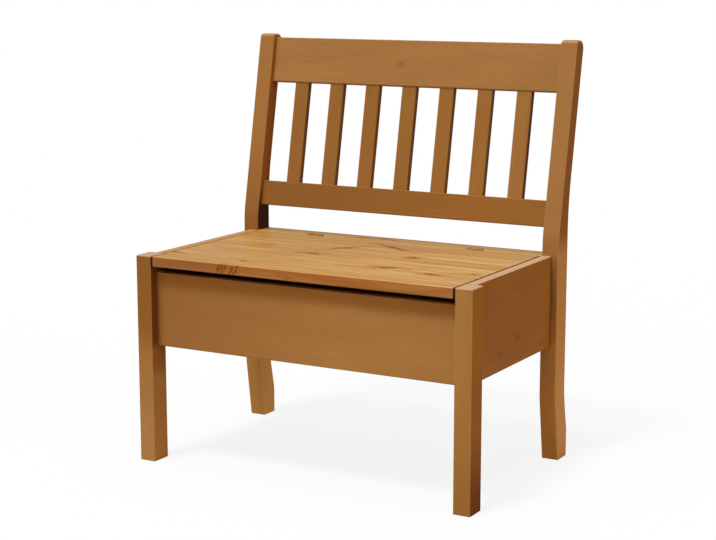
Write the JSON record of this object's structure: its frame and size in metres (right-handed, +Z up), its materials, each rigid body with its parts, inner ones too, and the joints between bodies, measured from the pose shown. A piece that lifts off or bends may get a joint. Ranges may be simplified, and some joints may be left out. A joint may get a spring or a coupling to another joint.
{
  "type": "storage bench",
  "caption": "Small pine storage bench: square front legs, sawn back posts, raked slatted back and a box seat under a lift-up lid hinged at the rear.",
  "frame": {"origin": "on the floor, below the centre of the overall bounding box", "axes": "+Z up; +X to the right as one faces the bench, along its width; the bench faces -Y and its back leans towards +Y"},
  "size_m": [0.8, 0.5372, 0.9097],
  "materials": {
    "stained_pine": "satin brown stain",
    "natural_pine": "satin clear lacquer",
    "raw_pine": "planed, unfinished",
    "plywood": "sanded, unfinished",
    "zinc_steel": "zinc plated"
  },
  "bodies": {
    "bench_frame": {"front_leg_left": "stained_pine", "front_leg_right": "stained_pine", "back_post_left": "stained_pine", "back_post_right": "stained_pine", "side_panel_left": "stained_pine", "side_panel_right": "stained_pine", "front_panel": "stained_pine", "back_panel": "stained_pine", "lower_rail": "stained_pine", "crest_rail": "stained_pine", "lid_rest_left": "stained_pine", "lid_rest_right": "stained_pine", "slat_1": "stained_pine", "slat_2": "stained_pine", "slat_3": "stained_pine", "slat_4": "stained_pine", "slat_5": "stained_pine", "slat_6": "stained_pine", "slat_7": "stained_pine", "hinge_rail": "natural_pine", "bottom_cleat_left": "raw_pine", "bottom_cleat_right": "raw_pine", "bottom_cleat_front": "raw_pine", "bottom_cleat_back": "raw_pine", "bottom_board": "plywood", "strip_screws": "zinc_steel", "hinge_rail_screws": "zinc_steel", "hinge_rail_leaf_left": "zinc_steel", "hinge_rail_leaf_right": "zinc_steel", "hinge_pin_left": "zinc_steel", "hinge_pin_right": "zinc_steel"},
    "lid": {"lid_board": "natural_pine", "lid_batten_left": "raw_pine", "lid_batten_right": "raw_pine", "batten_screws": "zinc_steel", "hinge_lid_leaf_left": "zinc_steel", "hinge_lid_leaf_right": "zinc_steel", "hinge_lid_screws": "zinc_steel"}
  },
  "joints": [
    {"name": "lid_hinge", "type": "hinge", "parent": "bench_frame", "child": "lid", "pos_m": [0, 0.15242, 0.456], "axis": [-1, 0, 0], "range_deg": [0, 101.5]}
  ]
}
